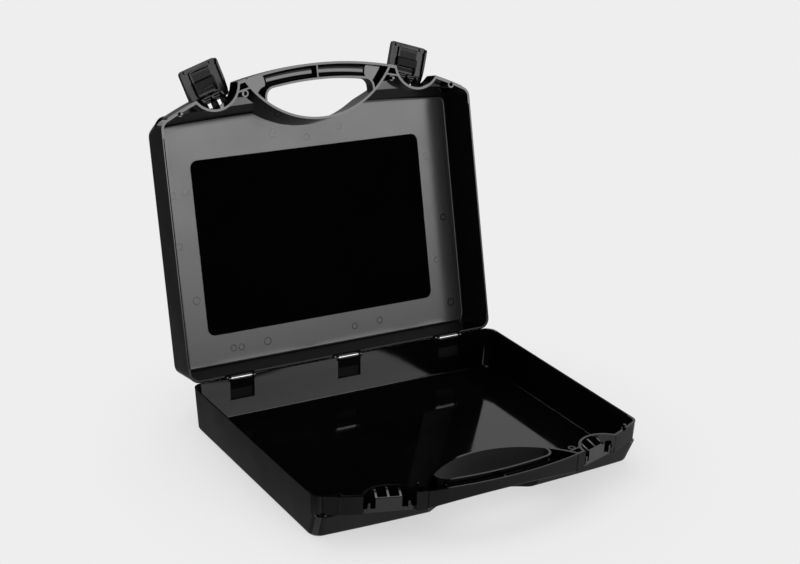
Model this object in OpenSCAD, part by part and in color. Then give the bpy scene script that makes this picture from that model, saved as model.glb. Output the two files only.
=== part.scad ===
// Hard case for a laptop: two moulded shells, three pinned hinges, two snap latches.
// The case stands open. X runs along the hinge, +Y points to the hinge side, +Z is up.
// The origin is the middle of the base's underside.
// Each shell is drawn mouth down, with its depth d growing upwards from the mouth at zero.

/* [Case] */
// Width of the case at the rim
case_w = 385; // [300:1:460]
// Depth of the straight sides, from the back wall to the front corners
case_d = 282; // [220:1:340]
// How far the middle of the bowed front stands ahead of its corners
bow_out = 47; // [40:0.5:54]
// Height of the base
base_h = 48.5; // [42:0.5:70]
// Height of the lid
lid_h = 50; // [42:0.5:70]
// Wall thickness of both shells
wall = 2.6; // [2:0.1:3.4]
// Thickness of the base's floor and of the lid's top
floor_t = 2.8; // [2:0.1:4]
// Radius of the corners seen from above
corner_r = 12; // [8:0.5:18]
// Radius along the outer bottom edge
edge_r = 4; // [2:0.5:6]
// Radius where the walls meet the floor inside
inner_r = 2.5; // [1.5:0.5:4]
// Draft of the side and back walls, in degrees
draft = 4; // [1:0.5:6]
// Gap between the two rims when the case is shut
rim_gap = 0.3; // [0.2:0.05:0.6]

/* [Front] */
// Depth of the bowed band below the rim
band_h = 20.5; // [19:0.5:24]
// How far the band's raised panel stands proud of the corners
panel_proud = 0.9; // [0.4:0.1:1.5]
// Width of the raised panel
panel_w = 368; // [290:1:440]
// How far the lower front wall lies behind the middle of the bow
front_set = 34.5; // [32:0.5:38]
// Lean of the lower front wall, in degrees
front_lean = 22; // [16:1:26]
// How far the lower front wall bows out
front_bow = 7; // [4:0.5:9]

/* [Handle] */
// Depth of the finger opening behind the middle of the bow
finger_depth = 59.5; // [54:0.5:64]
// Radius of the curved wall behind the fingers
crescent_r = 106; // [100:1:112]
// Lean of the curved wall behind the fingers, in degrees
crescent_lean = 8; // [4:1:10]
// Width of the handle bar
handle_w = 18.7; // [16:0.1:21]
// Depth of one half of the handle bar at its middle, from where it grows to the band's depth
handle_h = 12.6; // [11:0.1:15]
// Wall of the handle bar
handle_t = 2.4; // [2:0.1:3]
// Length of the finger opening along the bar
finger_len = 132; // [120:1:138]
// Radius at the ends of the finger opening
finger_r = 10; // [6:0.5:13]

/* [Latches] */
// Distance of each latch from the middle of the case
latch_x = 124.5; // [121:0.5:130]
// Radius of the pocket that a latch sits in
seat_r = 27.8; // [27:0.1:29]
// How far the pocket's centre lies ahead of the bow
seat_ahead = 8; // [7:0.5:9]
// Width of a latch
latch_w = 47; // [45:0.5:47.5]
// Thickness of a latch's cover
latch_t = 2.4; // [2:0.1:3]
// Length of a latch from its pivot to its free end
latch_reach = 38.5; // [36:0.5:40]
// Height of the pivot above the lid's rim
pivot_d = 21; // [20.5:0.5:23]
// Depth of the pivot behind the face of the bow
pivot_in = 8.5; // [8:0.5:9.5]
// Diameter of the pivot bar
pivot_bar = 5; // [4:0.5:5.5]
// Running clearance round the pivot bar, on the radius
pivot_gap = 0.08; // [0.03:0.01:0.1]
// Angle that a latch swings through
latch_swing = 90; // [70:5:90]

/* [Hinges] */
// Angle that the lid opens to
lid_open = 105; // [95:1:110]
// Distance of the outer hinges' middles from the case's sides
hinge_in = 59.5; // [45:0.5:80]
// Length of a hinge knuckle
knuckle_w = 26; // [20:0.5:32]
// Diameter of a hinge pin
pin_d = 4.6; // [3.6:0.1:5]
// Running clearance round a hinge pin, on the radius
pin_gap = 0.08; // [0.03:0.01:0.1]
// Distance of the hinge axis behind the back wall
axis_out = 0.7; // [0.3:0.1:1.5]
// Distance of the hinge axis below the rim
axis_down = 1.5; // [1.2:0.1:2.2]
// Wall round a hinge pin
knuckle_t = 2.1; // [1.7:0.1:2.5]
// Thickness of the cheeks that hold a pin
cheek_t = 2.5; // [2:0.1:3.5]

/* [Pegs] */
// Diameter of the pegs that line up the two rims
peg_d = 4; // [3:0.5:5]
// How far a peg stands above its rim
peg_h = 3.5; // [2:0.5:5]
// Distance of the outer pegs and sockets from the case's sides
peg_side_in = 23.5; // [21:0.5:40]
// Distance of the inner pegs and sockets from the middle
peg_post_x = 91.5; // [90:0.5:93]

/* [Inlay] */
// Width of the matt panel on the lid's inner face
inlay_w = 289; // [220:1:320]
// Length of the matt panel
inlay_l = 195.4; // [150:0.2:220]
// Distance of the panel's middle from the middle of the case
inlay_y = 3.3; // [-8:0.1:8]
// Thickness of the panel
inlay_t = 0.8; // [0.6:0.1:1.5]
// Radius of the panel's corners
inlay_r = 8.5; // [3:0.5:15]

/* [Hidden] */
$fn = 64;

shell_black = "#17181a";
inlay_black = "#060607";
latch_black = "#1d1e20";
pin_steel = "#c4c7ca";

over = 1;
play = 0.3;
back_y = case_d / 2;
half_w = case_w / 2;
bow_r = (half_w * half_w + bow_out * bow_out) / (2 * bow_out);
bow_front = -back_y - bow_out;
bow_y = bow_front + bow_r;
front_r = pow(half_w, 2) / (2 * front_bow);
ledge_d = band_h - wall;
under_rise = 1;
rim_edge = 0.4;
panel_corner = 6;
field_in = 7;
field_d = 0.4;

crescent_y = bow_front + finger_depth - crescent_r;
bar_r = bow_r - handle_w;
bar_edge = 3;
bar_end_x = 88;
bar_rib_t = 1.6;
bar_rib_d = 3.5;
bar_reach = crescent_r + 2;
bar_steps = 36;
groove_w = 1.2;
groove_in = 1.1;
post_rib_x = 92;
post_rib_in = 10;
post_rib_t = 1.8;
post_rib_turn = 4;

peg_tip = 1;
peg_post_in = 15;
socket_t = 2;

seat_turn = asin(latch_x / bow_r);
seat_front = 5.5;
seat_wall_t = 2.4;
seat_low_h = 4;
seat_mid_h = 14.5;
seat_mid_half = 13;
rib_t = 2;
rib_step = 12;
lug_u = 18.6;
lug_t = 2.3;
lug_in = latch_t + 1.1;
lug_top = 11;
pip_d = 3.6;
pip_h = 1;
pip_in = 4.9;
pip_up = 6.3;
latch_side_t = 2.2;
latch_side_h = 3.8;
latch_corner = 4;
latch_block_w = 22;
latch_rail_t = 1.6;
latch_gusset_in = 7.5;
latch_gusset_d = 3.4;
heel = 5;
heel_step = 1.5;
ear_w = 3;
hook_x = 5.5;
hook_w = 8.4;
hook_r = 4.5;
hook_open = 1.6;
hook_open_w = 6.4;
block_d0 = 12;
block_d1 = pivot_d + pivot_in - latch_t - play;

peg_side_x = half_w - peg_side_in;
hinge_x = half_w - hinge_in;
axis_y = back_y + axis_out;
axis_z = base_h - axis_down;
open_y = (rim_gap + axis_down) * sin(lid_open) - axis_out * cos(lid_open);
open_z = (rim_gap + axis_down) * cos(lid_open) + axis_out * sin(lid_open);
knuckle_r = pin_d / 2 + knuckle_t;
clear_r = knuckle_r + 0.4;
cheek_x = knuckle_w / 2 + play;
pin_len = 2 * (cheek_x + cheek_t);
seat_fit = 0.01;
wall_in = -axis_out - wall + 0.4;
cheek_low = 10.5;
stop_reach = 7;
boss_step = 1.2;
boss_top = 5.4;
boss_low = 22;
boss_foot = 27;
knuckle_root = 8;
tongue_t = 1.1;
tongue_h = 1.4;
mouth_half = 50;
boss_out = 2.6;
boss_half = cheek_x + cheek_t + 2;
recess_half = cheek_x + cheek_t / 2;
recess_in = 2;
recess_d1 = 25.5;

// Points along an arc, both ends included
function arc(c, r, a0, a1, n) =
    [for (i = [0:n]) c + r * [cos(a0 + (a1 - a0) * i / n), sin(a0 + (a1 - a0) * i / n)]];

// Outline with straight sides and back, a front that is an arc, and four round corners
function bowed_box(w, yb, r, fy, fr, steps = 40) =
    let (xf = w - r,
         yf = fy - sqrt(pow(fr - r, 2) - xf * xf),
         turn = asin(xf / (fr - r)))
    concat(arc([xf, yb - r], r, 90, 0, 6),
        arc([xf, yf], r, 0, turn - 90, 6),
        arc([0, fy], fr, turn - 90, -turn - 90, steps),
        arc([-xf, yf], r, -turn - 90, -180, 6),
        arc([-xf, yb - r], r, 180, 90, 6));

// Draft that the walls have reached at a depth
function lean_in(d) = d * tan(draft);
// Place of the lower front wall's middle at a depth, before its bow
function front_at(d) = bow_front + front_set + (d - band_h) * tan(front_lean);
// Depth of the handle bar's underside at a place x along it
function bar_depth(x) = handle_h + (band_h - handle_h) * pow(x / bar_end_x, 2);
// Extra inset of a rounded edge, where t is the height above the face that it runs into
function round_in(r, t) = t >= r ? 0 : r - sqrt(r * r - pow(r - t, 2));

// Outline of the bowed front at a depth, with every side moved in by inset
function bow_ring(d, inset, front_inset = 0) =
    let (i = lean_in(d) + inset)
    bowed_box(half_w - i, back_y - i, max(corner_r - inset, 2), bow_y,
        bow_r - inset - front_inset - lean_in(d) / 3);

// Outline of the lower tub at a depth, with every side moved in by inset
function tub_ring(d, inset, corner = corner_r) =
    let (i = lean_in(d) + inset)
    bowed_box(half_w - i, back_y - i, max(corner - inset, 2),
        front_at(d) + inset + front_r, front_r);

// Solid skin through outlines that lie at rising depths and have as many points each
module skin(depths, rings) {
    n = len(rings[0]);
    last = len(rings) - 1;
    polyhedron(
        points = [for (k = [0:last]) for (p = rings[k]) [p[0], p[1], depths[k]]],
        faces = concat(
            [[for (i = [0:n - 1]) n - 1 - i]],
            [[for (i = [0:n - 1]) last * n + i]],
            [for (k = [0:last - 1]) for (i = [0:n - 1]) let (j = (i + 1) % n)
                [k * n + i, k * n + j, (k + 1) * n + j, (k + 1) * n + i]]),
        convexity = 4);
}

// Solid through outlines given as points in space, with flat first and last outlines
module loft(rings) {
    n = len(rings[0]);
    last = len(rings) - 1;
    polyhedron(
        points = [for (ring = rings) for (p = ring) p],
        faces = concat(
            [[for (i = [0:n - 1]) n - 1 - i]],
            [[for (i = [0:n - 1]) last * n + i]],
            [for (k = [0:last - 1]) for (i = [0:n - 1]) for (half = [0, 1])
                let (j = (i + 1) % n)
                half == 0 ? [k * n + i, k * n + j, (k + 1) * n + j]
                    : [k * n + i, (k + 1) * n + j, (k + 1) * n + i]]),
        convexity = 6);
}

// Outer form: the bowed band, its underside, the lower tub and the rounded bottom edge
module outer_form(h) {
    low = [1, 0.7, 0.4, 0.15, 0] * edge_r;
    skin(concat([0, band_h - 1, band_h, band_h + under_rise], [for (t = low) h - t]),
        concat([bow_ring(0, 0, panel_proud), bow_ring(band_h - 1, 0, panel_proud),
                bow_ring(band_h, 0, panel_proud + 0.8), tub_ring(band_h + under_rise, 0)],
            [for (t = low) tub_ring(h - t, round_in(edge_r, t))]));
}

// Hollow: the space inside the band, its ledges, the lower tub and the rounded floor edge
module hollow_form(h) {
    floor_d = h - floor_t;
    low = [1, 0.6, 0.25, 0] * inner_r;
    skin(concat([-over, ledge_d - under_rise, ledge_d], [for (t = low) floor_d - t]),
        concat([bow_ring(0, wall, panel_proud), bow_ring(ledge_d, wall, panel_proud),
                tub_ring(ledge_d, wall)],
            [for (t = low) tub_ring(floor_d - t, wall + round_in(inner_r, t))]));
}

// Raised panel round the bowed band, with round lower corners
module raised_panel() {
    r = panel_corner;
    h = band_h - 1;
    reach = bow_out + corner_r + over;
    intersection() {
        skin([rim_edge, band_h], [bow_ring(rim_edge, 0), bow_ring(band_h, 0)]);
        translate([0, bow_front + reach - over, 0])
            rotate([90, 0, 0])
                linear_extrude(height = reach) {
                    translate([-panel_w / 2, -over]) square([panel_w, h + over - r]);
                    translate([-panel_w / 2 + r, -over]) square([panel_w - 2 * r, h + over]);
                    for (s = [-1, 1])
                        translate([s * (panel_w / 2 - r), h - r]) circle(r);
                }
    }
}

// Space in front of the curved wall behind the fingers, from depth d0 to d1, grown by extra
module crescent(extra, d0, d1) {
    translate([0, crescent_y, d0])
        cylinder(h = d1 - d0,
            r1 = crescent_r + extra + d0 * tan(crescent_lean),
            r2 = crescent_r + extra + d1 * tan(crescent_lean), $fn = 160);
}

// Moves to a latch seat: x along the bow, y inwards from its face, side is -1 or 1
module at_seat(side) {
    translate([0, bow_y, 0])
        rotate([0, 0, side * seat_turn])
            translate([0, -bow_r, 0])
                children();
}

// Sweeps a profile, drawn as radius and depth, along the bow over an angle about x
module along_bow(x, turn) {
    translate([0, bow_y, 0])
        rotate([0, 0, asin(x / bow_r) - turn / 2 - 90])
            rotate_extrude(angle = turn, $fn = 360)
                children();
}

module seat_round(r, d0, d1) {
    translate([0, -seat_ahead, d0])
        cylinder(h = d1 - d0, r = r, $fn = 96);
}

// Outline of the finger opening, grown by extra
function finger_ring(extra) =
    bowed_box(finger_len / 2 + extra, bow_front + finger_depth + 20,
        finger_r + extra, bow_y, bar_r + extra, 24);

// Space in front of the curved wall: all of it below the arched handle bar, and beside the
// bar only the finger opening, with a round lower edge
module finger_space(h) {
    low = [1, 0.6, 0.25, 0] * bar_edge;
    difference() {
        crescent(0, -over, h + over);
        difference() {
            translate([0, bow_front + 2 * crescent_r, 0])
                rotate([90, 0, 0])
                    linear_extrude(height = 4 * crescent_r)
                        polygon(concat([[-bar_reach, -2 * over], [bar_reach, -2 * over]],
                            [for (i = [0:bar_steps]) let (x = bar_reach * (1 - 2 * i / bar_steps))
                                [x, bar_depth(x)]]));
            loft(concat(
                [[for (p = finger_ring(0)) [p[0], p[1], -3 * over]]],
                [for (t = low) [for (p = finger_ring(round_in(bar_edge, t)))
                    [p[0], p[1], bar_depth(p[0]) - t]]],
                [[for (p = finger_ring(bar_edge)) [p[0], p[1], h + 2 * over]]]));
        }
    }
}

// Round outer edge along the arched underside of the handle bar
module bar_edge_cut() {
    rim = bow_r - bar_edge;
    turn = asin(bar_end_x / bow_r);
    loft([for (i = [0:bar_steps])
        let (a = turn * (1 - 2 * i / bar_steps), d = bar_depth(rim * sin(a)))
        [for (p = concat([[rim, d + over]], arc([rim, d - bar_edge], bar_edge, 90, 0, 4),
                [[bow_r + 2 * over, d - bar_edge - play], [bow_r + 2 * over, d + over]]))
            [p[0] * sin(a), bow_y - p[0] * cos(a), p[1]]]]);
}

// Channel along the handle bar, open at the mouth
module bar_channel() {
    translate([0, 0, -over])
        linear_extrude(height = handle_h - handle_t + over)
            difference() {
                intersection() {
                    translate([0, crescent_y]) circle(crescent_r, $fn = 160);
                    translate([0, bow_y]) circle(bow_r - handle_t - 0.2, $fn = 360);
                    translate([-crescent_r, bow_front])
                        square([2 * crescent_r, finger_depth]);
                }
                polygon(finger_ring(handle_t));
                translate([-bar_rib_t / 2, bow_front]) square([bar_rib_t, finger_depth]);
            }
    translate([-bar_rib_t, bow_front + handle_t + play, -over])
        cube([2 * bar_rib_t, handle_w - 2 * handle_t - 2 * play, bar_rib_d + over]);
}

// Grooves that part the handle bar from the posts on the outer face
module bar_grooves() {
    for (s = [-1, 1])
        translate([0, bow_y, 0])
            rotate([0, 0, s * asin(bar_end_x / bow_r)])
                translate([-groove_w / 2, -bow_r - over, -over])
                    cube([groove_w, groove_in + over, band_h + 2 * over]);
}

// Shallow field in the floor, which leaves a fine step along its border
module floor_field(h) {
    translate([0, 0, h - floor_t - over])
        linear_extrude(height = over + field_d)
            difference() {
                polygon(tub_ring(h - floor_t, wall + field_in));
                translate([0, crescent_y])
                    circle(crescent_r + wall + h * tan(crescent_lean) + field_in, $fn = 160);
            }
}

// Space inside a shell, which leaves the curved wall, the seat walls and the post ribs
module inner_space(h) {
    difference() {
        hollow_form(h);
        crescent(wall, -2 * over, h + over);
        for (s = [-1, 1]) {
            at_seat(s) seat_round(seat_r + wall, -2 * over, band_h + 2);
            along_bow(s * post_rib_x, post_rib_turn)
                translate([bow_r - post_rib_in - post_rib_t, 0])
                    square([post_rib_t, ledge_d + play]);
        }
    }
}

// Both shells share this form; the children are the latch pockets and what stands in them
module shell(h) {
    difference() {
        union() {
            difference() {
                union() {
                    outer_form(h);
                    raised_panel();
                }
                finger_space(h);
                bar_edge_cut();
                bar_channel();
                children(0);
            }
            if ($children > 1) children(1);
        }
        inner_space(h);
        bar_grooves();
        floor_field(h);
    }
}

// Places of the pegs, or of the sockets with turn = -1, as seen on a shell's mouth
function peg_places(turn) =
    [[-turn * peg_side_x, front_at(band_h) + front_bow * pow(peg_side_x / half_w, 2)],
     [turn * peg_post_x, bow_y - sqrt(pow(bow_r - peg_post_in, 2) - pow(peg_post_x, 2))]];

// Pegs on the ledges, with a thicker foot, and round walls for the sockets
module pegs_and_walls() {
    for (p = peg_places(1))
        translate([p[0], p[1], -peg_h]) {
            cylinder(h = peg_tip, d1 = peg_d - peg_tip, d2 = peg_d, $fn = 32);
            translate([0, 0, peg_tip - 0.01])
                cylinder(h = peg_h + ledge_d - peg_tip / 2, d = peg_d, $fn = 32);
            translate([0, 0, peg_h + peg_tip])
                cylinder(h = ledge_d - peg_tip / 2, d = peg_d + 2 * peg_tip, $fn = 32);
        }
    for (p = peg_places(-1))
        translate([p[0], p[1], play])
            cylinder(h = ledge_d, d = peg_d + 2 * socket_t, $fn = 32);
}

// Holes that take the pegs of the other shell
module socket_holes() {
    for (p = peg_places(-1))
        translate([p[0], p[1], -over])
            cylinder(h = peg_h + over + 2 * play, d = peg_d + 2 * play, $fn = 32);
}

// Base latch pocket: a low wall and three ribs stand in it, and two lugs carry pips
module base_pocket() {
    low_d = band_h - seat_low_h;
    mid_d = band_h - seat_mid_h;
    lug_d = band_h - lug_top;
    difference() {
        seat_round(seat_r, -over, band_h + 2 * over);
        translate([-seat_r, seat_front, ledge_d]) cube([2 * seat_r, seat_r, band_h]);
        translate([-seat_r, seat_front, low_d]) cube([2 * seat_r, seat_wall_t, band_h]);
        translate([-seat_mid_half, seat_front, mid_d])
            cube([2 * seat_mid_half, seat_wall_t, band_h]);
        for (u = [-rib_step, 0, rib_step])
            translate([u - rib_t / 2, 0, 0])
                rotate([90, 0, 90])
                    linear_extrude(height = rib_t)
                        polygon([[seat_front + seat_wall_t - 0.5, band_h],
                            [seat_front + seat_wall_t - 0.5, mid_d],
                            [seat_front + seat_wall_t, mid_d],
                            [seat_r - seat_ahead - 2, 1.5],
                            [seat_r - seat_ahead + over, 1.5],
                            [seat_r - seat_ahead + over, band_h]]);
        for (s = [-1, 1]) {
            translate([s * (lug_u + lug_t / 2) - lug_t / 2, lug_in, lug_d])
                cube([lug_t, seat_front + seat_wall_t - lug_in, lug_top - wall]);
            translate([s * (lug_u + lug_t - 0.5), pip_in, band_h - pip_up])
                rotate([0, s * 90, 0])
                    cylinder(h = pip_h + 0.5, d = pip_d, $fn = 32);
        }
    }
}

// Height of the stop lugs at a place y behind the hinge axis, just clear of the open lid
function stop_z(y) = open_z - (y - open_y) * tan(lid_open - 90) - play;

// Hinge cheeks with the pin's seats, drawn along the axis in the shut case's frame
module hinge_cheeks() {
    half = cheek_x + cheek_t;
    translate([-half, 0, 0])
        rotate([0, 90, 0])
            cylinder(h = 2 * half, r = knuckle_r, $fn = 48);
    translate([-half, 0, 0])
        rotate([90, 0, 90])
            linear_extrude(height = 2 * half)
                polygon([[wall_in, -0.5], [0, 0.5 - knuckle_r / 2], [knuckle_r / 2, 0.8 - knuckle_r],
                    [-axis_out - 0.4, -cheek_low], [wall_in, -cheek_low - 1.5]]);
    for (s = [-1, 1])
        translate([s * (cheek_x + cheek_t / 2) - cheek_t / 2, 0, 0])
            rotate([90, 0, 90])
                linear_extrude(height = cheek_t)
                    polygon([[1, -1.2], [knuckle_r - 0.5, stop_z(knuckle_r - 0.5) - 0.1],
                        [stop_reach, stop_z(stop_reach)], [stop_reach, stop_z(stop_reach) - 1.2],
                        [1.6, 0.4 - knuckle_r]]);
}

// Base side of one hinge, in the frame of the hinge axis
module on_hinges() {
    for (x = [-hinge_x, 0, hinge_x])
        translate([x, axis_y, axis_z])
            children();
}

module base_shell() {
    side_y0 = -back_y + corner_r + 3;
    color(shell_black)
        difference() {
            union() {
                difference() {
                    union() {
                        translate([0, 0, base_h])
                            rotate([0, 180, 0]) {
                                shell(base_h)
                                    for (s = [-1, 1]) at_seat(s) base_pocket();
                                pegs_and_walls();
                            }
                        on_hinges()
                            translate([-boss_half, 0, 0])
                                rotate([90, 0, 90])
                                    linear_extrude(height = 2 * boss_half)
                                        polygon([[wall_in + 0.6, 0.4 - boss_top],
                                            [boss_out - boss_step, -boss_top],
                                            [boss_out, -boss_top - boss_step],
                                            [boss_out, -boss_low], [-axis_out - wall, -boss_foot]]);
                    }
                    on_hinges()
                        translate([-recess_half, -axis_out - wall - 6, -recess_d1 + axis_down])
                            cube([2 * recess_half, 6 + recess_in, recess_d1 - axis_down]);
                }
                on_hinges() hinge_cheeks();
            }
            on_hinges() {
                translate([-cheek_x, 0, 0])
                    rotate([0, 90, 0])
                        cylinder(h = 2 * cheek_x, r = clear_r, $fn = 48);
                translate([-pin_len / 2 - over, 0, 0])
                    rotate([0, 90, 0])
                        cylinder(h = pin_len + 2 * over, r = pin_d / 2 + seat_fit);
            }
            translate([0, 0, base_h]) rotate([0, 180, 0]) socket_holes();
            for (s = [-1, 1])
                translate([s * (half_w - wall + tongue_t + play - 3) - 3, side_y0, base_h - tongue_h])
                    cube([6, case_d - 2 * corner_r - 6, tongue_h + over]);
        }
}

// Puts a piece that is drawn for the shut case where the open lid carries it
module on_open_lid() {
    translate([0, axis_y, axis_z])
        rotate([-lid_open, 0, 0])
            translate([0, -axis_y, -axis_z])
                children();
}

// Block that carries the latch's pivot bar, in the frame of the seat
module latch_block() {
    for (u = [-rib_step, 0, rib_step])
        translate([u - rib_t / 2, 0, 0])
            rotate([90, 0, 90])
                linear_extrude(height = rib_t)
                    polygon([[pivot_in - 1, block_d0 + 4], [pivot_in + 4, block_d0],
                        [seat_r - seat_ahead + 2, block_d0 - 2], [seat_r - seat_ahead + 7, block_d1],
                        [pivot_in - 1, block_d1], [pivot_in - pivot_bar / 2 - 0.6, pivot_d + 2],
                        [pivot_in - pivot_bar / 2 - 0.6, pivot_d - 2]]);
    translate([-seat_mid_half, pivot_in, pivot_d])
        rotate([0, 90, 0])
            cylinder(h = 2 * seat_mid_half, d = pivot_bar, $fn = 48);
}

module lid_pockets() {
    for (s = [-1, 1])
        at_seat(s) seat_round(seat_r, -over, band_h + 2 * over);
}

module lid_blocks() {
    for (s = [-1, 1]) {
        at_seat(s) latch_block();
        translate([s * (half_w - wall + tongue_t / 2) - tongue_t / 2, -back_y + corner_r + 5,
            -tongue_h])
            cube([tongue_t, case_d - 2 * corner_r - 10, tongue_h + 2]);
    }
}

// Knuckle that snaps onto a hinge pin, in the frame of the axis in the shut case
module lid_knuckle() {
    half = knuckle_w / 2;
    translate([-half, 0, 0])
        rotate([0, 90, 0])
            cylinder(h = 2 * half, r = knuckle_r, $fn = 48);
    translate([-half + 0.5, 0, 0])
        rotate([90, 0, 90])
            linear_extrude(height = 2 * half - 1)
                polygon([[wall_in, 1], [2, 1], [knuckle_r - play, 1.4],
                    [-axis_out - 1.2, knuckle_root], [wall_in, knuckle_root]]);
}

module lid_shell() {
    color(shell_black)
        on_open_lid()
            difference() {
                union() {
                    translate([0, 0, base_h + rim_gap]) {
                        shell(lid_h) {
                            lid_pockets();
                            lid_blocks();
                        }
                        pegs_and_walls();
                    }
                    on_hinges() lid_knuckle();
                }
                translate([0, 0, base_h + rim_gap]) socket_holes();
                on_hinges() {
                    translate([-pin_len / 2 - over, 0, 0])
                        rotate([0, 90, 0])
                            cylinder(h = pin_len + 2 * over, r = pin_d / 2 + pin_gap);
                    translate([-pin_len / 2, 0, 0])
                        rotate([90, 0, 90])
                            linear_extrude(height = pin_len)
                                polygon([[0, 0],
                                    8 * [-sin(mouth_half), -cos(mouth_half)], [0, -8],
                                    8 * [sin(mouth_half), -cos(mouth_half)]]);
                    for (s = [-1, 1])
                        translate([s * (knuckle_w / 2 + 1.8) - 1.8, 0, 0])
                            rotate([0, 90, 0])
                                cylinder(h = 3.6, r = clear_r, $fn = 48);
                }
            }
}

module lid_inlay_panel() {
    top_d = lid_h - floor_t + field_d;
    color(inlay_black)
        on_open_lid()
            translate([0, inlay_y, base_h + rim_gap + top_d - inlay_t])
                linear_extrude(height = inlay_t)
                    union() {
                        square([inlay_w - 2 * inlay_r, inlay_l], center = true);
                        square([inlay_w, inlay_l - 2 * inlay_r], center = true);
                        for (sx = [-1, 1], sy = [-1, 1])
                            translate([sx * (inlay_w / 2 - inlay_r), sy * (inlay_l / 2 - inlay_r)])
                                circle(inlay_r);
                    }
}

// Outline of a latch's cover, seen on its face, with two ears beside the pivot
module latch_outline() {
    half = latch_w / 2;
    translate([-half, -latch_reach + latch_corner])
        square([latch_w, latch_reach - latch_corner + heel - heel_step]);
    translate([-half + latch_corner, -latch_reach])
        square([latch_w - 2 * latch_corner, latch_reach + heel]);
    for (s = [-1, 1]) {
        translate([s * (half - latch_corner), -latch_reach + latch_corner])
            circle(latch_corner);
        translate([s * (half - ear_w) - ear_w / 2, 0])
            square([ear_w, heel - play]);
    }
}

// Ridges on the inside of a latch: their height above the cover over the place along it
module latch_ridge(half_l, points) {
    back = latch_t - pivot_in;
    translate([-half_l, 0, 0])
        rotate([90, 0, 90])
            linear_extrude(height = 2 * half_l)
                polygon(concat([[back - play, points[len(points) - 1][0]],
                    [back - play, points[0][0]]], [for (p = points) [back + p[1], p[0]]]));
}

// One latch with its pivot at the origin: x along the bow, y inwards, z up to its heel
module latch() {
    half = latch_w / 2;
    face = -pivot_in;
    back = face + latch_t;
    tip = -latch_reach;
    difference() {
        union() {
            intersection() {
                translate([0, face + bow_r, tip - over])
                    difference() {
                        cylinder(h = latch_reach + 2 * heel, r = bow_r, $fn = 720);
                        translate([0, 0, -over])
                            cylinder(h = latch_reach + 4 * heel, r = bow_r - latch_t, $fn = 720);
                    }
                translate([0, back + latch_side_h, 0])
                    rotate([90, 0, 0])
                        linear_extrude(height = latch_t + 2 * latch_side_h)
                            latch_outline();
            }
            for (s = [-1, 1])
                translate([s * (half - latch_side_t / 2), 0, 0])
                    latch_ridge(latch_side_t / 2, [[tip + 1.2, 1.8], [tip + 3.2, latch_side_h],
                        [-14, latch_side_h], [-6, 2.6], [-play, 1.2]]);
            latch_ridge(lug_u - 3 * play, [[tip + 0.2, 1.4], [tip + 1.6, 1.4]]);
            latch_ridge(latch_block_w / 2, [[tip + 3.8, 1.5], [tip + 4.8, 1.5]]);
            latch_ridge(latch_block_w / 2, [[tip + 6, 2.4], [tip + 7, 2.7], [tip + 15.6, 1.7],
                [tip + 15.7, 1.7], [tip + 17.4, 5.2], [tip + 25.5, 3.4], [tip + 26.5, 1]]);
            latch_ridge(latch_block_w / 2, [[tip + 27.4, 1.8], [tip + 31, 1.2]]);
            for (s = [-1, 1]) {
                translate([s * (latch_block_w / 2 + latch_rail_t / 2), 0, 0])
                    latch_ridge(latch_rail_t / 2, [[tip + 5, 2.4], [tip + 16, 2.4],
                        [tip + 18, 4.4], [tip + 30, 3.2], [tip + 33, 1.6]]);
                translate([s * (half - latch_gusset_in), back + 2.2, tip + 3])
                    rotate([90, 0, 0])
                        cylinder(h = 2.4, d = latch_gusset_d, $fn = 32);
                translate([s * hook_x - hook_w / 2, 0, 0]) {
                    rotate([0, 90, 0])
                        cylinder(h = hook_w, r = hook_r, $fn = 48);
                    translate([0, back - play, -hook_r + 1])
                        cube([hook_w, play - back - pivot_bar / 2 - 0.4, 2 * hook_r - 2]);
                }
            }
        }
        translate([-half, 0, 0])
            rotate([0, 90, 0])
                cylinder(h = latch_w, r = pivot_bar / 2 + pivot_gap, $fn = 48);
        translate([-half - over, hook_open, -hook_open_w / 2])
            cube([latch_w + 2 * over, 2 * hook_r, hook_open_w]);
        for (s = [-1, 1])
            translate([s * (half - latch_side_t - 0.5), pip_in - pivot_in, pip_up - rim_gap
                - band_h - pivot_d])
                rotate([0, s * 90, 0])
                    cylinder(h = 0.5 + pip_h, d = pip_d + 2 * play, $fn = 32);
    }
}

module open_latch(side) {
    color(latch_black)
        on_open_lid()
            translate([0, 0, base_h + rim_gap])
                at_seat(side)
                    translate([0, pivot_in, pivot_d])
                        rotate([-latch_swing, 0, 0])
                            latch();
}

module latch_left() {
    open_latch(-1);
}

module latch_right() {
    open_latch(1);
}

module hinge_pin(x) {
    color(pin_steel)
        translate([x - pin_len / 2, axis_y, axis_z])
            rotate([0, 90, 0])
                cylinder(h = pin_len, d = pin_d);
}

module hinge_pin_left() {
    hinge_pin(-hinge_x);
}

module hinge_pin_centre() {
    hinge_pin(0);
}

module hinge_pin_right() {
    hinge_pin(hinge_x);
}

base_shell();
lid_shell();
lid_inlay_panel();
latch_left();
latch_right();
hinge_pin_left();
hinge_pin_centre();
hinge_pin_right();
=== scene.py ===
"""Looks of the laptop hard case: bevelled shells, moulded black plastic, steel pins and studio light.

Sizes of the case are in millimetres, as in the CAD. Lengths that Blender takes are in metres.
"""

import math

import bmesh
import bpy
from mathutils import Matrix, Vector


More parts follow.
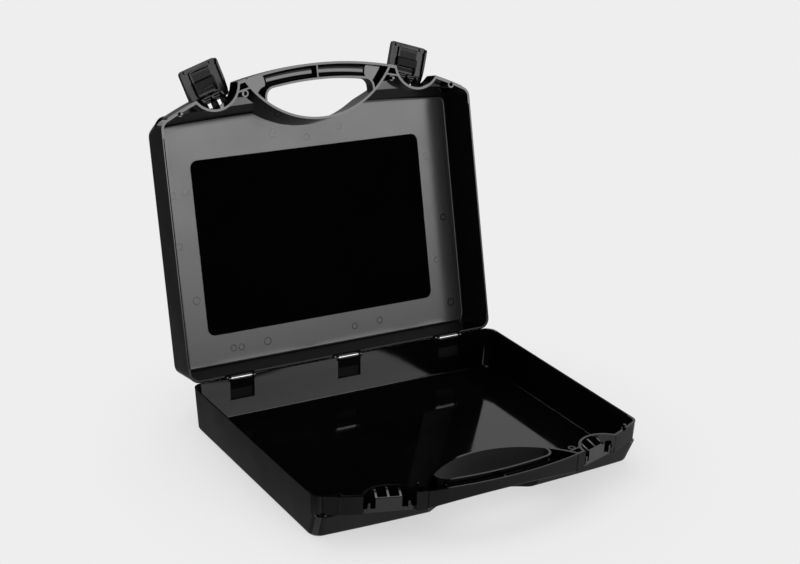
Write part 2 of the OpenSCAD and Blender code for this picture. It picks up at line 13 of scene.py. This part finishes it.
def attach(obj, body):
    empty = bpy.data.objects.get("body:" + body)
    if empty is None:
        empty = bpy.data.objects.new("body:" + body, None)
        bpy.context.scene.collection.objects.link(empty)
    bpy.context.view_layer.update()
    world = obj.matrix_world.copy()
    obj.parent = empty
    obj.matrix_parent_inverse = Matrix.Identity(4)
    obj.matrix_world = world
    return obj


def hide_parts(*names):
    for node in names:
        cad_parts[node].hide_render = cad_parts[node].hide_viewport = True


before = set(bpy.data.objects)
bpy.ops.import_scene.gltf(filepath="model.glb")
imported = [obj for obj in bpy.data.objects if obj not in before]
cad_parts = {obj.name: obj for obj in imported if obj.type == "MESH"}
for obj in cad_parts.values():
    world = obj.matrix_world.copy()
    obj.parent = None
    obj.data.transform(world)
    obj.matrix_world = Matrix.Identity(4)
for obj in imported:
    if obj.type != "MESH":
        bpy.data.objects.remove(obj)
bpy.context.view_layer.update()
scene = bpy.context.scene
rad = math.radians
MM_PER_M = 1000

# ---------------------------------------------------------------- sizes of the case, as in the CAD
# Width at the rim, depth of the straight sides, and how far the middle of the front bows out
CASE_W, CASE_D, BOW_OUT = 385.0, 282.0, 47.0
# Heights of the two shells, and the gap between their rims when the case is shut
BASE_H, LID_H, RIM_GAP = 48.5, 50.0, 0.3
# Thickness of the walls and of the floors, and lean of the side and back walls, in degrees
WALL, FLOOR_T, DRAFT = 2.6, 2.8, 4.0
# Depth of the shallow field in each inner floor, and how far its edge stays from the walls
FIELD_D, FIELD_IN = 0.4, 7.0
# Depth of the bowed band below the rim
BAND_H = 20.5
# The lower front wall: how far it lies behind the middle of the bow, its lean in degrees, its own bow
FRONT_SET, FRONT_LEAN, FRONT_BOW = 34.5, 22.0, 7.0
# Radius of the curved wall behind the fingers, and its lean in degrees
CRESCENT_R, CRESCENT_LEAN = 106.0, 8.0
# Depth of the finger opening behind the middle of the bow, and its length along the bar
FINGER_DEPTH, FINGER_LEN = 59.5, 132.0
# Width of the handle bar, depth of one half of it at its middle, and its wall
HANDLE_W, HANDLE_H, HANDLE_T = 18.7, 12.6, 2.4
# The hinge axis, and how far the lid stands open, in degrees
AXIS_Y, AXIS_Z, LID_OPEN = 141.7, 47.0, 105.0

# What follows from them: the bow's radius, its foremost point and its centre, the centre of the
# curved wall, and the depth of the channel in the handle bar
HALF_W, BACK_Y = CASE_W / 2, CASE_D / 2
BOW_R = (HALF_W ** 2 + BOW_OUT ** 2) / (2 * BOW_OUT)
BOW_FRONT = -BACK_Y - BOW_OUT
BOW_Y = BOW_FRONT + BOW_R
CRESCENT_Y = BOW_FRONT + FINGER_DEPTH - CRESCENT_R
CHANNEL_D = HANDLE_H - HANDLE_T


def turned(y, z, angle):
    """y and z of a point in millimetres, turned about the hinge by an angle in degrees."""
    y, z = y - AXIS_Y, z - AXIS_Z
    c, s = math.cos(rad(angle)), math.sin(rad(angle))
    return y * c - z * s + AXIS_Y, y * s + z * c + AXIS_Z


def depth_point(p, lid):
    """x, y and depth from the mouth of a shell, in millimetres, of a point in metres."""
    x, y, z = (c * MM_PER_M for c in p)
    if lid:
        y, z = turned(y, z, LID_OPEN)
        return x, y, z - BASE_H - RIM_GAP
    return x, y, BASE_H - z


def shell_point(x, y, d, lid):
    """The reverse of depth_point."""
    if lid:
        y, z = turned(y, BASE_H + RIM_GAP + d, -LID_OPEN)
        return Vector((x, y, z)) / MM_PER_M
    return Vector((x, y, BASE_H - d)) / MM_PER_M


# ---------------------------------------------------------------- nodes
# Sockets of a Mix node by kind of value: its first value, which the second follows, and its result
MIX_SOCKETS = {"FLOAT": (2, 0), "RGBA": (6, 2)}


def empty_tree(owner):
    """The cleared node tree of a material or a world."""
    owner.use_nodes = True
    owner.node_tree.nodes.clear()
    return owner.node_tree


def feed(nt, socket, value):
    """Gives an input another node's output to follow, or a fixed value."""
    if hasattr(value, "links"):
        nt.links.new(value, socket)
    else:
        socket.default_value = value


def calc(nt, op, *values):
    """A Math node."""
    n = nt.nodes.new("ShaderNodeMath")
    n.operation = op
    for socket, value in zip(n.inputs, values):
        feed(nt, socket, value)
    return n.outputs[0]


def times(nt, product, *factors):
    for factor in factors:
        product = calc(nt, "MULTIPLY", product, factor)
    return product


def fade(nt, value, start, end, lo=0.0, hi=1.0, smooth=True):
    """Goes from lo to hi while value goes from start to end."""
    r = nt.nodes.new("ShaderNodeMapRange")
    r.interpolation_type = "SMOOTHSTEP" if smooth else "LINEAR"
    for name, v in (("From Min", start), ("From Max", end), ("To Min", lo), ("To Max", hi)):
        r.inputs[name].default_value = v
    nt.links.new(value, r.inputs["Value"])
    return r.outputs["Result"]


def spread(nt, value, lo, hi, start=0.3, end=0.7):
    """Stretches a noise over the range from lo to hi."""
    return fade(nt, value, start, end, lo, hi, smooth=False)


def split(nt, vector):
    """The x, y and z of a vector."""
    axes = nt.nodes.new("ShaderNodeSeparateXYZ")
    nt.links.new(vector, axes.inputs[0])
    return axes.outputs


def mix_values(nt, kind, factor, a, b):
    """Mixes two numbers or two colours."""
    first, result = MIX_SOCKETS[kind]
    n = nt.nodes.new("ShaderNodeMix")
    n.data_type = kind
    nt.links.new(factor, n.inputs["Factor"])
    feed(nt, n.inputs[first], a)
    feed(nt, n.inputs[first + 1], b)
    return n.outputs[result]


def mix_shaders(nt, factor, a, b):
    n = nt.nodes.new("ShaderNodeMixShader")
    for socket, source in zip(n.inputs, (factor, a, b)):
        nt.links.new(source, socket)
    return n.outputs[0]


def noise(nt, coords, scale, detail=2.0, rough=0.5, stretch=None):
    n = nt.nodes.new("ShaderNodeTexNoise")
    n.inputs["Scale"].default_value = scale
    n.inputs["Detail"].default_value = detail
    n.inputs["Roughness"].default_value = rough
    if stretch:
        mp = nt.nodes.new("ShaderNodeMapping")
        mp.inputs["Scale"].default_value = stretch
        nt.links.new(coords, mp.inputs["Vector"])
        coords = mp.outputs[0]
    nt.links.new(coords, n.inputs["Vector"])
    return n.outputs["Fac"]


def bump(nt, heights):
    """Stacks bumps; each entry is height socket, strength, distance."""
    last = None
    for h, strength, dist in heights:
        b = nt.nodes.new("ShaderNodeBump")
        b.inputs["Strength"].default_value = strength
        b.inputs["Distance"].default_value = dist
        nt.links.new(h, b.inputs["Height"])
        if last:
            nt.links.new(last, b.inputs["Normal"])
        last = b.outputs[0]
    return last


def two_tone(nt, fac, a, b):
    """Goes from one colour to another over the middle of a noise's range."""
    ramp = nt.nodes.new("ShaderNodeValToRGB")
    for element, position, colour in zip(ramp.color_ramp.elements, (0.35, 0.65), (a, b)):
        element.position = position
        element.color = (*colour, 1)
    nt.links.new(fac, ramp.inputs[0])
    return ramp.outputs[0]


# ---------------------------------------------------------------- materials
# Scales of noises, in periods per metre
TONE_SCALE, ROUGH_SCALE, WAVE_SCALE = 9.0, 26.0, 11.0
SPECK_SCALE, DRIFT_SCALE = 620.0, 17.0
NAP_SCALE, INLAY_TONE_SCALE, LINE_SCALE = 2600.0, 14.0, 900.0
# Height of the waves in a moulded face, in metres
WAVE_DEPTH = 0.002
PLASTIC_IOR, HAZE_ROUGHNESS = 1.49, 0.5


def new_material(name):
    """An empty material with a shader, and the object's coordinates for its textures."""
    m = bpy.data.materials.new(name)
    nt = empty_tree(m)
    out = nt.nodes.new("ShaderNodeOutputMaterial")
    shader = nt.nodes.new("ShaderNodeBsdfPrincipled")
    nt.links.new(shader.outputs[0], out.inputs[0])
    return m, nt, shader, nt.nodes.new("ShaderNodeTexCoord").outputs["Object"]


def dusted(nt, co, tone, dust):
    """Adds sparse specks of dust to a colour, thicker in some places than in others."""
    specks = spread(nt, noise(nt, co, SPECK_SCALE, 2.0, 0.7), 0.0, 1.0, 0.66, 0.74)
    where = spread(nt, noise(nt, co, DRIFT_SCALE, 2.0), 0.0, 1.0, 0.45, 0.62)
    return mix_values(nt, "RGBA", times(nt, specks, where), tone, (dust, dust, dust, 1))


def plastic(name, dark, light, rough, specular, grain, wave=0.0, dust=0.0, haze=0.0):
    """Moulded plastic.

    rough is a range, grain is the strength, scale and height of its finest bumps, wave the strength
    of its broad ones, dust the brightness of its specks, and haze the weight of a dull coat.
    """
    m, nt, shader, co = new_material(name)
    strength, scale, height = grain
    tone = two_tone(nt, noise(nt, co, TONE_SCALE, 3.0), dark, light)
    if dust:
        tone = dusted(nt, co, tone, dust)
    nt.links.new(tone, shader.inputs["Base Color"])
    nt.links.new(spread(nt, noise(nt, co, ROUGH_SCALE, 4.0), *rough), shader.inputs["Roughness"])
    layers = [(noise(nt, co, scale, 3.0, 0.6), strength, height)]
    if wave:
        layers.insert(0, (noise(nt, co, WAVE_SCALE, 1.0), wave, WAVE_DEPTH))
    nt.links.new(bump(nt, layers), shader.inputs["Normal"])
    shader.inputs["IOR"].default_value = PLASTIC_IOR
    shader.inputs["Specular IOR Level"].default_value = specular
    if haze:
        shader.inputs["Coat Weight"].default_value = haze
        shader.inputs["Coat Roughness"].default_value = HAZE_ROUGHNESS
    return m


def inlay_material():
    """A deep matt black with a fine nap."""
    m, nt, shader, co = new_material("inlay_matt_black")
    nap = noise(nt, co, NAP_SCALE, 2.0)
    tone = two_tone(nt, noise(nt, co, INLAY_TONE_SCALE, 3.0),
                    (0.0006, 0.0006, 0.0010), (0.0009, 0.0009, 0.0014))
    nt.links.new(tone, shader.inputs["Base Color"])
    nt.links.new(spread(nt, nap, 0.86, 1.0), shader.inputs["Roughness"])
    nt.links.new(bump(nt, [(nap, 0.4, 0.0001)]), shader.inputs["Normal"])
    shader.inputs["Specular IOR Level"].default_value = 0.012
    return m


def steel_material():
    """Steel with drawing lines along its length."""
    m, nt, shader, co = new_material("pin_drawn_steel")
    lines = noise(nt, co, LINE_SCALE, 3.0, 0.6, stretch=(0.05, 1.0, 1.0))
    tone = two_tone(nt, lines, (0.60, 0.60, 0.61), (0.72, 0.72, 0.73))
    nt.links.new(tone, shader.inputs["Base Color"])
    nt.links.new(spread(nt, lines, 0.24, 0.36), shader.inputs["Roughness"])
    nt.links.new(bump(nt, [(lines, 0.15, 0.00005)]), shader.inputs["Normal"])
    shader.inputs["Metallic"].default_value = 1.0
    return m


MAT_OUT = plastic("moulded_black_grained", (0.0060, 0.0060, 0.0065), (0.0084, 0.0084, 0.0090),
                  rough=(0.44, 0.52), specular=0.10, grain=(0.45, 1900.0, 0.00016))
MAT_IN = plastic("moulded_black_smooth", (0.0012, 0.0012, 0.0014), (0.0020, 0.0020, 0.0022),
                 rough=(0.045, 0.075), specular=0.50, grain=(0.04, 700.0, 0.00003),
                 wave=0.02, dust=0.035)
# The lid's inner face is the same black plastic with a lighter base colour. That grey is a painted
# sheen standing in for part of the softbox's reflection. Its satin roughness and coat add real
# reflections on top.
MAT_LID_PAINTED_SHEEN = plastic("moulded_black_satin_painted_sheen", (0.0240, 0.0240, 0.0245), (0.0280, 0.0280, 0.0286),
                  rough=(0.18, 0.23), specular=0.50, grain=(0.08, 1500.0, 0.00004),
                  wave=0.02, haze=0.4)
MAT_LATCH = plastic("latch_black", (0.0040, 0.0040, 0.0043), (0.0056, 0.0056, 0.0060),
                    rough=(0.20, 0.28), specular=0.25, grain=(0.08, 1500.0, 0.00006))
MAT_INLAY = inlay_material()
MAT_STEEL = steel_material()

# ---------------------------------------------------------------- which finish a face gets
# Depths below the rim, a floor, the channel's bottom and the lid's inner face that still count as them
RIM_SKIN, FLOOR_SKIN, CHANNEL_SKIN, FACE_SKIN = 0.6, 0.4, 0.4, 1.0
# The same for the front of the bow, the curved wall and the edges of the finger opening
BOW_SKIN, CRESCENT_SKIN, OPENING_SKIN = 1.6, 1.0, 1.2
# A little over half of a wall, where its inner side ends
MID_WALL = WALL / 2 + 0.1
# Distance behind a face at which its finish is looked up, in metres
PROBE = 0.0002
# Places in the lists of materials of the shells
OUTSIDE, INSIDE, LID_FACE = 0, 1, 2


def inside_finish(p, lid):
    """Does this point of a shell lie on its smooth inner side or on its rim?"""
    x, y, d = depth_point(p, lid)
    h = LID_H if lid else BASE_H
    lean = d * math.tan(rad(DRAFT))
    bow = math.hypot(x, y - BOW_Y)
    if d < RIM_SKIN:
        return True
    if d > h - FLOOR_T + FIELD_D + FLOOR_SKIN:
        return False
    if abs(x) > HALF_W - lean - MID_WALL or y > BACK_Y - lean - MID_WALL:
        return False
    reach = math.hypot(x, y - CRESCENT_Y) - CRESCENT_R - d * math.tan(rad(CRESCENT_LEAN))
    if reach < MID_WALL:
        # the finger side of the curved wall and of the bar is grained, the channel in the bar is smooth
        if d > CHANNEL_D + CHANNEL_SKIN or bow > BOW_R - BOW_SKIN:
            return False
        beside_opening = abs(x) > FINGER_LEN / 2 + OPENING_SKIN
        if reach > -CRESCENT_SKIN:
            return beside_opening
        return bow > BOW_R - HANDLE_W + OPENING_SKIN or beside_opening
    if d < BAND_H - WALL / 2:
        return bow < BOW_R - MID_WALL
    front = BOW_FRONT + FRONT_SET + (d - BAND_H) * math.tan(rad(FRONT_LEAN))
    front += FRONT_BOW * (x / HALF_W) ** 2
    return y > front + MID_WALL


def shell_pick(lid):
    """A function that picks the material of a shell's face."""
    def pick(f):
        c = f.calc_center_median()
        if not inside_finish(c - f.normal * PROBE, lid):
            return OUTSIDE
        # the lid's inner face takes the lighter copy of the plastic, whose grey is partly painted sheen
        return LID_FACE if lid and depth_point(c, lid)[2] > LID_H - FLOOR_T - FACE_SKIN else INSIDE
    return pick


# ---------------------------------------------------------------- dressed pieces
# Edges that turn by more degrees than CREASE are bevelled and shaded sharp
CREASE = 32.0
SHELL_BEVEL, SMALL_BEVEL = 0.0004, 0.0003
# Vertices closer than WELD are joined, edges shorter than SLIVER and turns under FLAT degrees go
WELD, SLIVER, FLAT = 4e-6, 1e-5, 0.35


def dress(node, body, mats, bevel, pick=None):
    """A bevelled copy of a CAD node, with a material index from pick for each face."""
    ob = bpy.data.objects.new(node + "_dressed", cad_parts[node].data.copy())
    scene.collection.objects.link(ob)
    me = ob.data
    me.materials.clear()
    for m in mats:
        me.materials.append(m)
    bm = bmesh.new()
    bm.from_mesh(me)
    bmesh.ops.remove_doubles(bm, verts=bm.verts, dist=WELD)
    bmesh.ops.dissolve_degenerate(bm, edges=bm.edges, dist=SLIVER)
    bmesh.ops.dissolve_limit(bm, angle_limit=rad(FLAT), verts=bm.verts, edges=bm.edges)
    for f in bm.faces:
        f.material_index = pick(f) if pick else 0
        f.smooth = True
    for e in bm.edges:
        e.smooth = len(e.link_faces) == 2 and e.calc_face_angle(0.0) < rad(CREASE)
    bm.to_mesh(me)
    bm.free()
    edges = ob.modifiers.new("edges", "BEVEL")
    edges.width = bevel
    edges.segments = 2
    edges.limit_method = "ANGLE"
    edges.angle_limit = rad(CREASE)
    edges.use_clamp_overlap = True
    normals = ob.modifiers.new("normals", "WEIGHTED_NORMAL")
    normals.mode = "FACE_AREA"
    normals.weight = 90
    normals.keep_sharp = True
    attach(ob, body)
    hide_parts(node)


dress("base_shell", "base", [MAT_OUT, MAT_IN], SHELL_BEVEL, shell_pick(False))
dress("lid_shell", "lid", [MAT_OUT, MAT_IN, MAT_LID_PAINTED_SHEEN], SHELL_BEVEL, shell_pick(True))
dress("latch_left", "latch_left", [MAT_LATCH], SMALL_BEVEL)
dress("latch_right", "latch_right", [MAT_LATCH], SMALL_BEVEL)
for pin in ("hinge_pin_left", "hinge_pin_centre", "hinge_pin_right"):
    dress(pin, "base", [MAT_STEEL], SMALL_BEVEL)

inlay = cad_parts["lid_inlay_panel"]
inlay.data.materials.clear()
inlay.data.materials.append(MAT_INLAY)


# ---------------------------------------------------------------- small forms moulded with the shells
def add_form(name, body, bm):
    """Makes a piece of smooth plastic from a bmesh."""
    bmesh.ops.recalc_face_normals(bm, faces=bm.faces)
    me = bpy.data.meshes.new(name)
    bm.to_mesh(me)
    bm.free()
    me.materials.append(MAT_IN)
    ob = bpy.data.objects.new(name, me)
    scene.collection.objects.link(ob)
    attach(ob, body)


# The rounded bottom of the channel in the handle bar: half its length, how far its edges rise above
# its middle, and the power of that curve
TROUGH_REACH, TROUGH_RISE, TROUGH_POWER = 64.0, 6.3, 4
# How far its skin lies above the channel's bottom, and its foot below
TROUGH_LIFT, TROUGH_FOOT = 0.04, 0.8
# How far its edges run into the bar's outer wall and into its inner wall
TROUGH_OUTER, TROUGH_INNER = 0.2, 0.4
# Steps in half of its length and in half of its width
TROUGH_STEPS, TROUGH_POINTS = 24, 9


def bar_trough(name, body, lid):
    outer = BOW_R - HANDLE_T + TROUGH_OUTER
    inner = BOW_R - HANDLE_W + HANDLE_T - TROUGH_INNER
    middle, half = (outer + inner) / 2, (outer - inner) / 2
    skin = [n / TROUGH_POINTS - 1 for n in range(2 * TROUGH_POINTS + 1)]
    section = [(s, CHANNEL_D - TROUGH_LIFT - TROUGH_RISE * abs(s) ** TROUGH_POWER) for s in skin]
    section += [(1.0, CHANNEL_D + TROUGH_FOOT), (-1.0, CHANNEL_D + TROUGH_FOOT)]
    bm = bmesh.new()
    rings = []
    for k in range(2 * TROUGH_STEPS + 1):
        a = math.asin(TROUGH_REACH / BOW_R) * (k / TROUGH_STEPS - 1)
        rings.append([bm.verts.new(shell_point((middle + s * half) * math.sin(a),
                                               BOW_Y - (middle + s * half) * math.cos(a), d, lid))
                      for s, d in section])
    for one, two in zip(rings, rings[1:]):
        for n in range(len(section)):
            face = bm.faces.new((one[n], one[n - 1], two[n - 1], two[n]))
            face.smooth = 0 < n < len(skin)
    bm.faces.new(rings[0])
    bm.faces.new(rings[-1][::-1])
    add_form(name, body, bm)


# Faint round marks that the mould's ejector pins leave on the lid's inner face, as x and y in the
# shut case; each third one is large
MARKS = ((-41.1, -113.2), (1.0, -105.3), (43.1, -113.4), (-152.9, -61.7),
         (-168.6, -59.2), (-167.1, -2.9), (-154.2, 59.2), (38.6, 118.9),
         (72.2, 117.3), (-73.8, 117.7), (-116.2, 118.5), (-106.4, 119.0),
         (156.1, -66.1), (170.6, 8.5), (156.9, 58.4), (171.1, 111.4))
LARGE_MARK_R, SMALL_MARK_R, MARK_SEGMENTS = 4.2, 3.4, 32
# Section of a mark's raised ring: distance from its radius, and depth below the face
MARK_SECTION = ((-0.55, 0.05), (-0.40, -0.16), (0.40, -0.16), (0.55, 0.05))


def ejector_marks(name, body):
    bm = bmesh.new()
    field_x = HALF_W - LID_H * math.tan(rad(DRAFT)) - WALL - FIELD_IN
    turns = [2 * math.pi * k / MARK_SEGMENTS for k in range(MARK_SEGMENTS)]
    for n, (x, y) in enumerate(MARKS):
        face_d = LID_H - FLOOR_T + (FIELD_D if abs(x) < field_x else 0.0)
        r = SMALL_MARK_R if n % 3 else LARGE_MARK_R
        rings = [[bm.verts.new(shell_point(x + (r + out) * math.cos(t), y + (r + out) * math.sin(t),
                                           face_d + depth, True)) for t in turns]
                 for out, depth in MARK_SECTION]
        for inner, outer in zip(rings, rings[1:] + rings[:1]):
            for k in range(MARK_SEGMENTS):
                bm.faces.new((inner[k], inner[k - 1], outer[k - 1], outer[k]))
    add_form(name, body, bm)


bar_trough("lid_bar_trough", "lid", True)
bar_trough("base_bar_trough", "base", False)
ejector_marks("lid_ejector_marks", "lid")

# ---------------------------------------------------------------- floor
# Brightness of the backdrop, and of the floor's paint
BACKDROP, PAINT = 0.855, 0.80
# Share of the backdrop in the floor by the case, the rest being paint that shows the shadow, and the
# distances over which it grows to the whole
NEAR_SHARE, NEAR, FAR = 0.68, 0.16, 0.40
# A dark flag on the left, which only reflections show: the x where it ends, and the light it leaves
FLAG_X, CLEAR_X, FLAG_SHARE = -0.28, -0.13, 0.10
# The floor lies just below the case's underside, so that the two don't coincide
FLOOR_R, FLOOR_Z = 9.0, -0.0002


def floor_material():
    m = bpy.data.materials.new("studio_floor")
    nt = empty_tree(m)
    co = nt.nodes.new("ShaderNodeTexCoord").outputs["Object"]
    rays = nt.nodes.new("ShaderNodeLightPath").outputs
    flagged = fade(nt, split(nt, co)[0], FLAG_X, CLEAR_X, FLAG_SHARE * BACKDROP, BACKDROP)
    level = mix_values(nt, "FLOAT", rays["Is Glossy Ray"], BACKDROP, flagged)
    glow = nt.nodes.new("ShaderNodeEmission")
    glow.inputs["Color"].default_value = (1, 1, 1, 1)
    nt.links.new(level, glow.inputs["Strength"])
    paint = nt.nodes.new("ShaderNodeBsdfDiffuse")
    nt.links.new(calc(nt, "MULTIPLY", level, PAINT / BACKDROP), paint.inputs["Color"])
    away = nt.nodes.new("ShaderNodeVectorMath")
    away.operation = "LENGTH"
    nt.links.new(co, away.inputs[0])
    share = fade(nt, away.outputs["Value"], NEAR, FAR, NEAR_SHARE, 1.0)
    shown = mix_shaders(nt, share, paint.outputs[0], glow.outputs[0])
    # light that bounces off the floor comes from the paint alone
    seen = calc(nt, "MAXIMUM", rays["Is Camera Ray"], rays["Is Glossy Ray"])
    out = nt.nodes.new("ShaderNodeOutputMaterial")
    nt.links.new(mix_shaders(nt, seen, paint.outputs[0], shown), out.inputs[0])
    return m


bm = bmesh.new()
bmesh.ops.create_circle(bm, cap_ends=True, radius=FLOOR_R, segments=96)
floor_mesh = bpy.data.meshes.new("floor")
bm.to_mesh(floor_mesh)
bm.free()
floor_mesh.materials.append(floor_material())
floor = bpy.data.objects.new("floor", floor_mesh)
floor.location.z = FLOOR_Z
scene.collection.objects.link(floor)

# ---------------------------------------------------------------- world and light
# Strengths of the world's two softboxes, and of the plain light from all sides
FRONT_BOX, REAR_BOX, AMBIENT = 7.2, 2.2, 0.70
# In reflections, the brightness of the room in front, and what the ceiling and the left leave of it
DARK_ROOM, CEILING_SHARE, LEFT_SHARE = 0.06, 0.35, 0.12


def background(nt, strength):
    n = nt.nodes.new("ShaderNodeBackground")
    feed(nt, n.inputs["Strength"], strength)
    return n.outputs[0]


def studio_world():
    world = bpy.data.worlds.new("studio")
    scene.world = world
    nt = empty_tree(world)
    x, y, z = split(nt, nt.nodes.new("ShaderNodeTexCoord").outputs["Generated"])
    # height above the horizon, and bearing from straight ahead of the case's front to the right
    height = calc(nt, "ARCSINE", z)
    bearing = calc(nt, "ARCTAN2", x, calc(nt, "MULTIPLY", y, -1.0))
    # the large softbox in front, right of the middle, which gets brighter from its foot upwards
    front = times(nt, fade(nt, height, rad(2), rad(11), 0.0, FRONT_BOX, smooth=False),
                  fade(nt, height, rad(15), rad(24), 1.0, 0.0),
                  fade(nt, bearing, rad(35), rad(50), 1.0, 0.0),
                  fade(nt, bearing, rad(-8), rad(4)))
    # a weaker one high up behind the case
    rear = times(nt, fade(nt, height, rad(34), rad(42)),
                 fade(nt, height, rad(56), rad(64), 1.0, 0.0),
                 fade(nt, y, 0.20, 0.40, 0.0, REAR_BOX))
    boxes = calc(nt, "ADD", front, rear)
    # the pale backdrop behind the case and the dark room in front, darker at the ceiling and the left
    room = times(nt, fade(nt, y, -0.15, 0.30, DARK_ROOM, BACKDROP),
                 fade(nt, z, 0.62, 0.95, 1.0, CEILING_SHARE),
                 fade(nt, x, -0.70, -0.20, LEFT_SHARE, 1.0))
    rays = nt.nodes.new("ShaderNodeLightPath").outputs
    lit = mix_shaders(nt, rays["Is Glossy Ray"], background(nt, calc(nt, "ADD", boxes, AMBIENT)),
                      background(nt, calc(nt, "ADD", boxes, room)))
    seen = calc(nt, "MAXIMUM", rays["Is Camera Ray"], rays["Is Transmission Ray"])
    out = nt.nodes.new("ShaderNodeOutputWorld")
    nt.links.new(mix_shaders(nt, seen, lit, background(nt, BACKDROP)), out.inputs[0])


def softbox(name, place, aim, size, radiance):
    light = bpy.data.lights.new(name, "AREA")
    light.shape = "RECTANGLE"
    light.size, light.size_y = size
    light.energy = radiance * math.pi * size[0] * size[1]
    ob = bpy.data.objects.new(name, light)
    ob.location = place
    ob.rotation_euler = (Vector(aim) - Vector(place)).to_track_quat("-Z", "Y").to_euler()
    scene.collection.objects.link(ob)


studio_world()
softbox("top", place=(-0.2, 0.5, 2.3), aim=(0, 0, 0.1), size=(1.4, 1.0), radiance=1.6)

# ---------------------------------------------------------------- camera, fitted to the photograph
EYE = (-0.87367, -1.40014, 0.81595)
RIGHT, AHEAD = (0.86138, -0.50639, 0.03995), (0.48561, 0.79785, -0.35723)

cam = bpy.data.cameras.new("camera")
cam.lens = 76.93
cam.sensor_width = 36.0
cam.clip_end = 60.0
ahead = Vector(AHEAD).normalized()
up = Vector(RIGHT).normalized().cross(ahead).normalized()
right = ahead.cross(up).normalized()
eye = bpy.data.objects.new("camera", cam)
eye.matrix_world = Matrix([(right[i], up[i], -ahead[i], EYE[i]) for i in range(3)] + [(0, 0, 0, 1)])
scene.collection.objects.link(eye)
scene.camera = eye

scene.view_settings.view_transform = "Standard"
